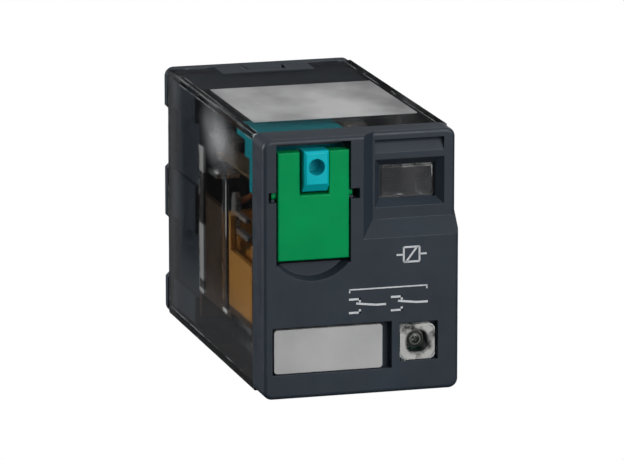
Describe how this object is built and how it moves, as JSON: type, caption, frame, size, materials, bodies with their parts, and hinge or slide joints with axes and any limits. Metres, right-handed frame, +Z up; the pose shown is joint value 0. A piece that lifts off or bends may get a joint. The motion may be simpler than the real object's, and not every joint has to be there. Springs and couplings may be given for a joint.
{
  "type": "plug-in control relay",
  "caption": "Box-shaped plug-in control relay with smoked clear cover, dark front bezel, hinged test door and push button, status window and flat rear blades.",
  "frame": {"origin": "centre of the base's rear seating face, the face that sits on a socket", "axes": "+X right and +Z up as seen from the front, +Y rearward along the plug-in blades, so the front faces -Y"},
  "size_m": [0.021, 0.0471, 0.0274],
  "materials": {
    "housing_plastic": "fine matt texture, dark blue-grey",
    "smoked_clear": "polished, smoked transparent",
    "clear_plastic": "polished, clear",
    "door_green": "satin, green",
    "button_teal": "satin, blue-green",
    "legend_grey": "matt, light grey",
    "insulator": "matt, black",
    "flag_white": "matt, off-white",
    "bobbin_plastic": "amber, slightly translucent",
    "coil_tape": "amber polyester film",
    "copper_wire": "enamelled copper",
    "soft_iron": "zinc-plated",
    "spring_metal": "rolled copper alloy",
    "blade_metal": "tin-plated",
    "contact_silver": "silver alloy",
    "spring_steel": "drawn wire",
    "board_green": "coated board",
    "chip_black": "moulded",
    "lead_insulation": "sleeved"
  },
  "bodies": {
    "housing": {"front_bezel": "housing_plastic", "base_block": "housing_plastic", "clear_cover": "smoked_clear", "status_window": "clear_plastic", "lamp_lens": "clear_plastic", "status_lamp": "clear_plastic", "lamp_board": "board_green", "series_resistor": "chip_black", "reverse_diode": "chip_black", "lamp_leads": "lead_insulation", "coil_winding": "copper_wire", "coil_tape": "coil_tape", "coil_bobbin": "bobbin_plastic", "coil_core": "soft_iron", "yoke": "soft_iron", "return_spring": "spring_steel", "flag_pin": "spring_steel", "break_terminal_left": "blade_metal", "make_terminal_left": "blade_metal", "common_terminal_left": "blade_metal", "coil_terminal_left": "blade_metal", "break_contact_left": "contact_silver", "make_contact_left": "contact_silver", "flexible_braid_left": "copper_wire", "break_terminal_right": "blade_metal", "make_terminal_right": "blade_metal", "common_terminal_right": "blade_metal", "coil_terminal_right": "blade_metal", "break_contact_right": "contact_silver", "make_contact_right": "contact_silver", "flexible_braid_right": "copper_wire"},
    "armature_group": {"armature": "soft_iron", "contact_carrier": "insulator", "carrier_rivets": "blade_metal", "contact_spring_left": "spring_metal", "contact_spring_right": "spring_metal", "moving_contact_left": "contact_silver", "moving_contact_right": "contact_silver"},
    "button": {"test_button": "button_teal"},
    "door": {"lockdown_door": "door_green"},
    "flag": {"status_flag": "flag_white"},
    "legend": {"legend_plate": "legend_grey"}
  },
  "joints": [
    {"name": "armature_tilt", "type": "hinge", "parent": "housing", "child": "armature_group", "pos_m": [0, -0.03075, -0.0124], "axis": [-1, 0, 0], "range_deg": [0, 3.5], "stiffness_Nm_per_rad": 0.002, "springref_deg": -11.46, "deforming": ["return_spring", "flexible_braid_left", "flexible_braid_right"]},
    {"name": "test_button_press", "type": "slide", "parent": "housing", "child": "button", "axis": [0, 1, 0], "range_m": [0, 0.00138]},
    {"name": "status_flag_lift", "type": "hinge", "parent": "housing", "child": "flag", "pos_m": [0, -0.0288, 0.005], "axis": [-1, 0, 0], "range_deg": [0, 33]},
    {"name": "lockdown_door_tilt", "type": "hinge", "parent": "housing", "child": "door", "pos_m": [0, -0.03932, 0.00765], "axis": [-1, 0, 0], "range_deg": [0, 18]},
    {"name": "legend_plate_pull", "type": "slide", "parent": "housing", "child": "legend", "axis": [0, -1, 0], "range_m": [0, 0.003]}
  ],
  "couplings": [
    {"joint": "test_button_press", "follows": "armature_tilt", "m_per_rad": 0.0224},
    {"joint": "status_flag_lift", "follows": "armature_tilt", "ratio": 9.42}
  ]
}
